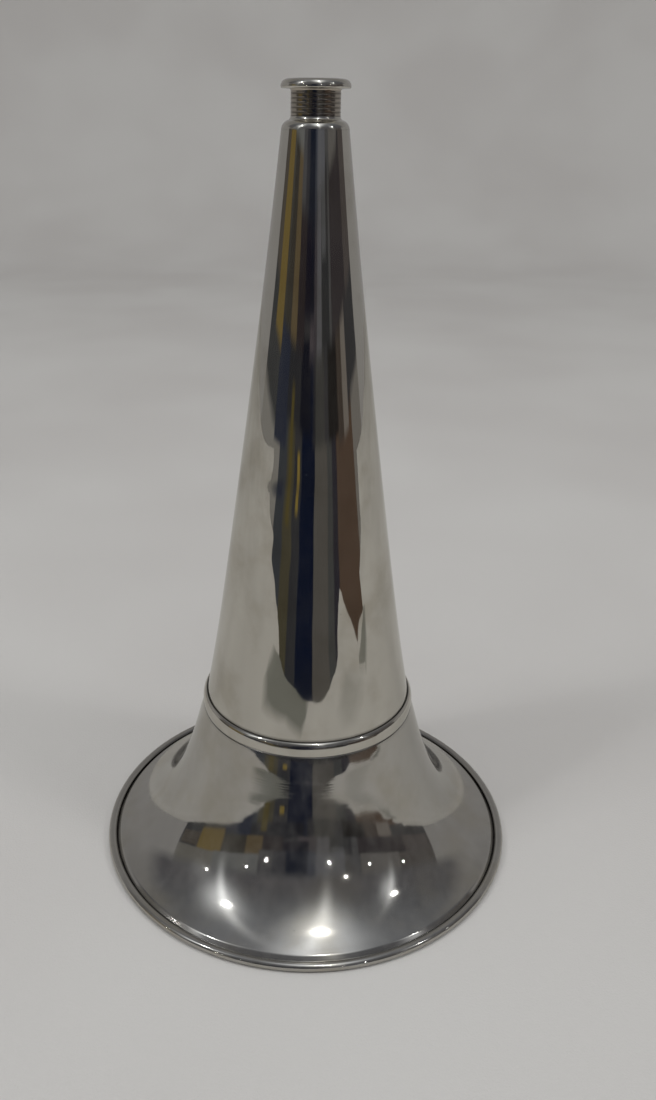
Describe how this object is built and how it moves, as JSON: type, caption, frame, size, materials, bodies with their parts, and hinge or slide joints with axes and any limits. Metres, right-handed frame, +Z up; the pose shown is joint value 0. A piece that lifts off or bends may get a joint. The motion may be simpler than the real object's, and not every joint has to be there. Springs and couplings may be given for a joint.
{
  "type": "speaking trumpet",
  "caption": "Polished metal acoustic horn: lipped and grooved neck, domed shoulder, long tapered cone, half-round joint band and a flared bell with a wired rolled rim, open right through.",
  "frame": {"origin": "centre of the circle that the rolled rim stands on", "axes": "+Z up the horn's axis, from the bell to the lip; the horn is round, so +X and +Y are any two directions square to it"},
  "size_m": [0.236, 0.236, 0.4061],
  "materials": {
    "bell_metal": "polished nickel plate with a fine spun haze",
    "cone_metal": "polished nickel plate, slightly wavy",
    "trim_metal": "bright polished nickel plate",
    "neck_metal": "polished nickel plate with dull grooves",
    "wire_metal": "plain drawn wire"
  },
  "bodies": {
    "root": {"lip_ring": "trim_metal", "neck_tube": "neck_metal", "shoulder_cap": "trim_metal", "cone": "cone_metal", "joint_bead": "trim_metal", "bell": "bell_metal", "rim_wire": "wire_metal"}
  },
  "joints": []
}
